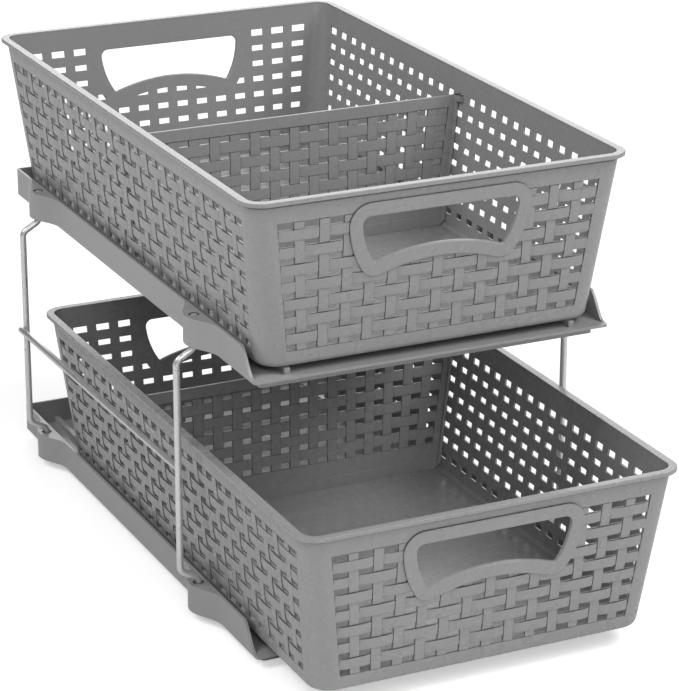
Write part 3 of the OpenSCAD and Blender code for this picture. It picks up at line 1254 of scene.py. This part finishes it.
@dataclass
class Divider(Moulding):
    """Upright woven plate across a basket, held by a lug through each side wall."""

    basket: Basket
    thickness: float = 2.4
    top: float = 104.6
    gap: float = 0.4
    border_r: float = 0.4
    columns: int = 16
    rows: int = 6
    margin: float = 2.8
    first_row: float = 11.9
    last_row: float = 27.0
    hole_w: float = 7.6
    hole_h: float = 4.5
    fan: float = 4.2
    fan_columns: float = 6.0
    field_edge: float = 0.5
    core_t: float = 1.4
    core_r: float = 0.15
    core_lap: float = 0.5
    foot_h: float = 9.0
    foot_step: float = 0.6
    foot_r: float = 0.3
    flange_w: float = 2.4
    flange_reach: float = 2.6
    lug_w: float = 8.6
    lug_h: float = 3.9
    lug_reach: float = 3.0
    lug_recess: float = 0.5
    lug_r: float = 0.3
    nose_h: float = 4.7
    relief: Relief = Relief(vertical_crest=0.0, horizontal_crest=0.1, dip=-0.45)

    def half(self, z: float) -> float:
        """Half width of the plate at height z."""
        return self.basket.half(self.basket.width, z) - self.basket.wall - self.gap

    def profile(self, top: float) -> list[Vector]:
        """Outline of the plate up to a height.

        Args:
            top: Height of its upper edge over the basket's underside.

        Returns:
            The outline's points.
        """
        corner, low = self.basket.edge_r, self.basket.wall
        right = [Vector((self.half(low) - corner, low)), Vector((self.half(low + corner), low + corner)),
                 Vector((self.half(top), top))]
        return right + mirrored(reversed(right))

    def weave(self) -> Weave:
        """Grid of the plate.

        Returns:
            The plate's weave, from the middle of the basket's underside.
        """
        pitch = 2 * (self.half(self.top / 2) - self.margin) / self.columns
        row_pitch = (self.top - self.first_row - self.last_row) / (self.rows - 1)
        return Weave(self.columns, self.rows, pitch, row_pitch, self.top - self.first_row, self.hole_w,
                     self.hole_h, self.hole_h, self.fan, self.fan_columns, over_first=0)

    def build(self, strip: int, name: str) -> Piece:
        """Models the divider about the middle of the basket's underside.

        Args:
            strip: Number of the side walls' strip just behind the holes of its lugs.
            name: The name of the result.

        Returns:
            The divider.
        """
        lug_y = (strip - 0.5) * self.basket.side_weave.column_pitch
        back_y = lug_y + self.lug_w / 2 + self.thickness
        weave, half_t = self.weave(), self.thickness / 2
        front = Matrix.Translation((0.0, back_y - self.thickness, 0.0)) @ Matrix.Rotation(pi / 2, 4, "X")
        middle = Matrix.Translation((0.0, half_t, 0.0)) @ front
        rear = (Matrix.Translation((0.0, back_y, 0.0)) @ Matrix.Rotation(pi, 4, "Z")
                @ Matrix.Rotation(pi / 2, 4, "X"))
        border = plate_from_outlines([self.profile(self.top), weave.field(self.field_edge)],
                                     -half_t, half_t, self.border_r, "border", steps=1)
        core = plate_from_outlines([weave.field(self.field_edge + self.core_lap), *weave.holes()],
                                   -self.core_t / 2, self.core_t / 2, self.core_r, "core")
        # Both faces of the core get painted shade, standing in for the shade behind the strips
        paint_gap_shade(core, lambda face: abs(face.normal.z) > FACING)
        foot = plate_from_outlines([self.profile(self.basket.wall + self.foot_h)],
                                   -half_t, half_t + self.foot_step, self.foot_r, "foot", steps=1)
        parts = [border, core, foot, self._flange(Side.RIGHT), self._flange(Side.LEFT)]
        for part in parts:
            part.data.transform(middle)
        parts += [WovenStrips(weave, place, self.relief).build() for place in (front, rear)]
        for side in Side:
            parts += self._lug(side, lug_y)
        divider = join(parts, name)
        finish_surface(divider)
        return divider

    def _flange(self, side: Side) -> Piece:
        """Models the upright flange along one end of the plate.

        Args:
            side: The end's side.

        Returns:
            The flange.
        """
        low = self.basket.wall + self.basket.edge_r
        corners = ((low, self.flange_w), (low, 0.0), (self.top, 0.0), (self.top, self.flange_w))
        outline = [Vector((side * (self.half(z) - inset), z)) for z, inset in corners]
        return plate_from_outlines([outline], -self.thickness / 2, self.thickness / 2 + self.flange_reach,
                                   self.border_r, "flange", steps=1)

    def _lug(self, side: Side, lug_y: float) -> list[Piece]:
        """Models a lug: its nose through the side wall, and its ear inside the basket.

        Args:
            side: The lug's side.
            lug_y: Place of the lug along the basket.

        Returns:
            The nose and the ear.
        """
        lug_z = self.top - self.lug_h / 2
        outer = self.basket.half(self.basket.width, lug_z) - self.lug_recess
        inner = outer - self.basket.wall - self.lug_reach
        ear_end = self.half(self.top - self.lug_h)
        nose = box(Vector((side * (ear_end + outer) / 2, lug_y, self.top - self.lug_h + self.nose_h / 2)),
                   Vector((outer - ear_end + self.gap, self.lug_w, self.nose_h)), self.lug_r)
        # The nose's ends and top get painted shade, so the hole in the wall shows dark round it
        paint_gap_shade(nose, lambda face: abs(face.normal.y) < LEANING and face.normal.z > -LEANING)
        ear = box(Vector((side * (inner + ear_end) / 2, lug_y + self.thickness / 4, lug_z)),
                  Vector((ear_end - inner, self.lug_w + self.thickness / 2, self.lug_h)), self.lug_r)
        return [nose, ear]


@dataclass
class Tray(Moulding):
    """Shallow open-fronted tray with a boss for each post, a skirt and two guide rails."""

    finish: ClassVar[Finish] = Finish.TRAY
    slot: ClassVar[str] = "tray_plastic"

    basket: Basket
    side_play: float = 5.0
    end_play: float = 2.5
    running_gap: float = 0.2
    wall: float = 2.0
    floor_t: float = 1.8
    wall_h: float = 21.2
    corner_r: float = 2.5
    corner_steps: int = 4
    inner_r: float = 0.5
    skirt_h: float = 6.5
    skirt_inset: float = 7.8
    skirt_end_inset: float = 9.0
    slope: float = 21.0
    slope_steps: int = 16
    lip: float = 4.0
    rail_h: float = 4.4
    rail_w: float = 4.4
    rail_inset: float = 26.6
    rail_setback: float = 6.0
    front_setback: float = 93.0
    rear_setback: float = 65.0
    boss_reach: float = 11.6
    boss_half: float = 32.0
    boss_steps: int = 32
    socket_offset: float = 4.8
    socket_r: float = 2.6
    mouth_r: float = 3.9
    mouth_depth: float = 1.5
    mouth_slack: float = 0.1
    socket_steps: int = 32
    edge: float = 0.35
    edge_angle: float = 40.0
    cutter_margin: float = 5.0
    cutter_reach: float = 30.0

    @property
    def floor_top(self) -> float:
        """Level of the floor's upper face."""
        return self.skirt_h + self.floor_t

    @property
    def seat(self) -> float:
        """Level of a basket's underside on the rails."""
        return self.floor_top + self.rail_h + self.running_gap

    @property
    def top(self) -> float:
        """Level of the walls' upper edge."""
        return self.skirt_h + self.wall_h

    @property
    def half_w(self) -> float:
        """Half the tray's width, without its bosses."""
        return self.basket.half(self.basket.width, self.top - self.seat) + self.side_play + self.wall

    @property
    def half_d(self) -> float:
        """Half the tray's depth."""
        return self.basket.half(self.basket.depth, self.top - self.seat) + self.end_play + self.wall

    def boss_ys(self) -> tuple[float, float]:
        """Places of the bosses along the tray, front and rear."""
        return self.front_setback - self.half_d, self.half_d - self.rear_setback

    def outline(self) -> list[Vector]:
        """Outline of the tray with its bosses, anticlockwise.

        Returns:
            The outline's points.
        """
        right: list[Vector] = []
        for boss_y in self.boss_ys():
            for k in range(self.boss_steps + 1):
                t = 2 * k / self.boss_steps - 1
                reach = self.boss_reach * (0.5 + 0.5 * cos(pi * t))
                right.append(Vector((self.half_w + reach, boss_y + t * self.boss_half)))
        corners = rounded_rectangle(self.half_w, self.half_d, self.corner_r, self.corner_steps)
        rear = len(corners) // 2
        return right + corners[:rear] + mirrored(reversed(right)) + corners[rear:]

    def build(self, name: str) -> Piece:
        """Models the tray about the middle of its underside.

        Args:
            name: The name of the result.

        Returns:
            The tray.
        """
        body = plate_from_outlines([self.outline()], self.skirt_h, self.top, 0.0, name)
        inner = rounded_rectangle(self.half_w - self.wall, self.half_d - self.wall, self.inner_r,
                                  steps=2)
        cutters = [self._cutter(inner, self.floor_top), self._front_cutter()]
        for side in Side:
            for y in self.boss_ys():
                centre = Vector((side * (self.half_w + self.socket_offset), y))
                for radius, low in ((self.socket_r, 0.0), (self.mouth_r, self.top - self.mouth_depth)):
                    circle = arc(centre, radius, 0, 360, self.socket_steps)[:-1]
                    cutters.append(self._cutter(circle, low))
        for cutter in cutters:
            apply_modifier(body, "BOOLEAN", object=cutter, operation="DIFFERENCE", solver="EXACT")
        discard(cutters)
        apply_modifier(body, "BEVEL", width=self.edge, segments=2, limit_method="ANGLE",
                       angle_limit=radians(self.edge_angle))
        # Faces inside the sockets' mouths get painted shade, standing in for the shade in the recess
        paint_gap_shade(body, self._in_mouth)
        tray = join([body, self._skirt(), *(self._rail(side) for side in Side)], name)
        finish_surface(tray)
        return tray

    def _cutter(self, outline: Sequence[Vector], low: float) -> Piece:
        """Makes a cutter of an outline, from a level up past the tray's top."""
        return plate_from_outlines([outline], low, self.top + self.cutter_margin, 0.0, "cutter")

    def _front_cutter(self) -> Piece:
        """Makes the cutter for all that lies over the side walls' slope to the lip.

        Returns:
            The cutter.
        """
        start, rise = self.lip - self.half_d, self.top - self.floor_top
        ahead = -self.half_d - self.cutter_margin
        profile = [Vector((ahead, self.top + rise)), Vector((ahead, self.floor_top))]
        for k in range(self.slope_steps + 1):
            t = k / self.slope_steps
            profile.append(Vector((start + t * self.slope,
                                   self.floor_top + rise * (0.5 - 0.5 * cos(pi * t)))))
        profile.append(Vector((start + self.slope, self.top + rise)))
        reach = self.half_w + self.cutter_reach
        cutter = plate_from_outlines([profile], -reach, reach, 0.0, "front_cutter")
        # The profile stands up along the tray, and its thickness runs across it
        cutter.data.transform(Matrix(((0, 0, 1, 0), (1, 0, 0, 0), (0, 1, 0, 0), (0, 0, 0, 1))))
        return cutter

    def _in_mouth(self, face: bpy.types.MeshPolygon) -> bool:
        """Tests if a face lies inside the mouth of a socket.

        Args:
            face: The face.

        Returns:
            True if it does.
        """
        x = abs(face.center.x) - self.half_w - self.socket_offset
        near = min(Vector((x, face.center.y - y)).length for y in self.boss_ys())
        return near < self.mouth_r + self.mouth_slack and face.center.z < self.top - self.mouth_slack / 2

    def _rail(self, side: Side) -> Piece:
        """Models a guide rail, sunk a little into the floor and the back wall.

        Args:
            side: The rail's side.

        Returns:
            The rail.
        """
        start, end = self.rail_setback - self.half_d, self.half_d - self.wall + self.edge
        low, high = self.floor_top - self.edge, self.floor_top + self.rail_h
        centre = Vector((side * (self.half_w - self.rail_inset), (start + end) / 2, (low + high) / 2))
        return box(centre, Vector((self.rail_w, end - start, high - low)), self.edge)

    def _skirt(self) -> Piece:
        """Models the skirt under the floor, which carries the tray.

        Returns:
            The skirt.
        """
        half_w, half_d = self.half_w - self.skirt_inset, self.half_d - self.skirt_end_inset
        return plate_from_outlines(
            [rounded_rectangle(half_w, half_d, self.corner_r, self.corner_steps),
             rounded_rectangle(half_w - self.wall, half_d - self.wall, self.inner_r, steps=2)],
            0.0, self.skirt_h + self.edge, self.edge, "skirt", steps=1)


# ---- Studio -----------------------------------------------------------------


@dataclass(frozen=True)
class Softbox:
    """Square area lamp that faces the object. Size in metres, power in watts."""

    name: str
    azimuth: float
    elevation: float
    power: float
    size: float = 1.4

    def hang(self, target: Vector, distance: float) -> None:
        """Adds the lamp.

        Args:
            target: What it faces, in metres.
            distance: How far from there it hangs, in metres.
        """
        a, e = radians(self.azimuth), radians(self.elevation)
        away = Vector((sin(a) * cos(e), -cos(a) * cos(e), sin(e)))
        lamp = bpy.data.lights.new(self.name, "AREA")
        lamp.shape = "SQUARE"
        lamp.size = self.size
        lamp.energy = self.power
        obj = bpy.data.objects.new(self.name, lamp)
        obj.location = target + away * distance
        obj.rotation_euler = (-away).to_track_quat("-Z", "Y").to_euler()
        bpy.context.scene.collection.objects.link(obj)


@dataclass
class Studio:
    """White floor, soft lamps and the camera. Lengths in metres, angles in degrees."""

    eye: Vector = field(default_factory=lambda: Vector((-0.8511, -1.8708, 0.9010)))
    azimuth: float = -25.449
    elevation: float = 20.381
    roll: float = 0.12
    lens: float = 149.455
    sensor: float = 36.0
    view_reach: float = 50.0
    target: Vector = field(default_factory=lambda: Vector((0.0, -0.05, 0.17)))
    lamp_distance: float = 2.6
    lamps: tuple[Softbox, ...] = (
        Softbox("key_softbox", 50.0, 50.0, 41.0),
        Softbox("rear_softbox", 155.0, 20.0, 15.0),
        Softbox("left_softbox", -95.0, 46.0, 34.0),
        Softbox("front_softbox", -15.0, 30.0, 22.0),
    )
    world_light: float = 0.04
    floor_size: float = 30.0
    floor_drop: float = 0.0005
    floor_tone: float = 0.93
    floor_roughness: float = 0.9
    floor_lift: float = 0.45

    def build(self) -> None:
        """Sets up the floor, the world, the lamps and the camera."""
        self._floor()
        self._world()
        for lamp in self.lamps:
            lamp.hang(self.target, self.lamp_distance)
        self._camera()

    def _floor(self) -> None:
        """Lays a plain white floor, which looks a little lighter to the camera than it is."""
        floor = primitive(bpy.ops.mesh.primitive_plane_add, self.floor_size)
        floor.name = "studio_floor"
        floor.data.transform(Matrix.Translation((0.0, 0.0, -self.floor_drop)))
        sheet = NodeSheet("studio_white")
        sheet.shader.inputs["Base Color"].default_value = (self.floor_tone,) * 3 + (1.0,)
        sheet.shader.inputs["Roughness"].default_value = self.floor_roughness
        sheet.shader.inputs["Emission Color"].default_value = WHITE
        seen = sheet.add("ShaderNodeLightPath").outputs["Is Camera Ray"]
        sheet.link(sheet.times(seen, self.floor_lift), sheet.shader.inputs["Emission Strength"])
        floor.data.materials.append(sheet.material)

    def _world(self) -> None:
        """Fills the world with soft white light."""
        world = bpy.data.worlds.new("studio_world")
        bpy.context.scene.world = world
        world.use_nodes = True
        backdrop = world.node_tree.nodes["Background"]
        backdrop.inputs["Color"].default_value = WHITE
        backdrop.inputs["Strength"].default_value = self.world_light

    def _camera(self) -> None:
        """Sets up the camera."""
        data = bpy.data.cameras.new("camera")
        data.lens = self.lens
        data.sensor_width = self.sensor
        data.sensor_fit = "AUTO"
        data.clip_end = self.view_reach
        camera = bpy.data.objects.new("camera", data)
        camera.location = self.eye
        turn = Matrix.Rotation(radians(self.azimuth), 4, "Z")
        tilt = Matrix.Rotation(radians(90 - self.elevation), 4, "X")
        camera.rotation_euler = (turn @ tilt @ Matrix.Rotation(radians(self.roll), 4, "Z")).to_euler()
        bpy.context.scene.collection.objects.link(camera)
        bpy.context.scene.camera = camera


# ---- Assembly ---------------------------------------------------------------


@dataclass(frozen=True)
class Tier:
    """One tray with its basket and divider."""

    name: str
    level: float
    pulled_out: float
    divider_strip: int

    def build(self, tray: Tray, pattern: Piece) -> None:
        """Builds the tier's pieces.

        Args:
            tray: The tray's design, with its basket's.
            pattern: The modelled basket, to be copied.
        """
        on_rails = Vector((0.0, -self.pulled_out, self.level + tray.seat))
        moulding = copy_of(pattern, Matrix.Identity(4))
        moulding.name = f"{self.name}_basket_moulding"
        tray.basket.install(moulding, on_rails, f"{self.name}_basket", f"{self.name}_basket")
        divider = Divider(tray.basket)
        plate = divider.build(self.divider_strip, f"{self.name}_divider_plate")
        divider.install(plate, on_rails, f"{self.name}_basket", f"{self.name}_divider")
        base = tray.build(f"{self.name}_tray_moulding")
        tray.install(base, Vector((0.0, 0.0, self.level)), "frame", f"{self.name}_tray")


@dataclass(frozen=True)
class Stand:
    """The wire posts and braces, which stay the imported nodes."""

    endings: tuple[str, ...] = ("_post", "_brace")

    def dress(self) -> None:
        """Gives the wires their finish."""
        for name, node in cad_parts.items():
            if name.endswith(self.endings):
                Finish.WIRE.dress(node)
                LOG.info("%s: dressed", name)


def main() -> None:
    """Builds every piece and the studio."""
    logging.basicConfig(level=logging.INFO, format="%(name)s: %(message)s")
    bpy.context.scene.view_settings.view_transform = "Standard"
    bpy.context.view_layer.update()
    tray = Tray(Basket())
    pattern = tray.basket.build("basket_pattern")
    for tier in (Tier("upper", level=203.5, pulled_out=0.0, divider_strip=0),
                 Tier("lower", level=0.0, pulled_out=84.0, divider_strip=5)):
        tier.build(tray, pattern)
    discard((pattern,))
    Stand().dress()
    Studio().build()


if __name__ == "__main__":
    main()
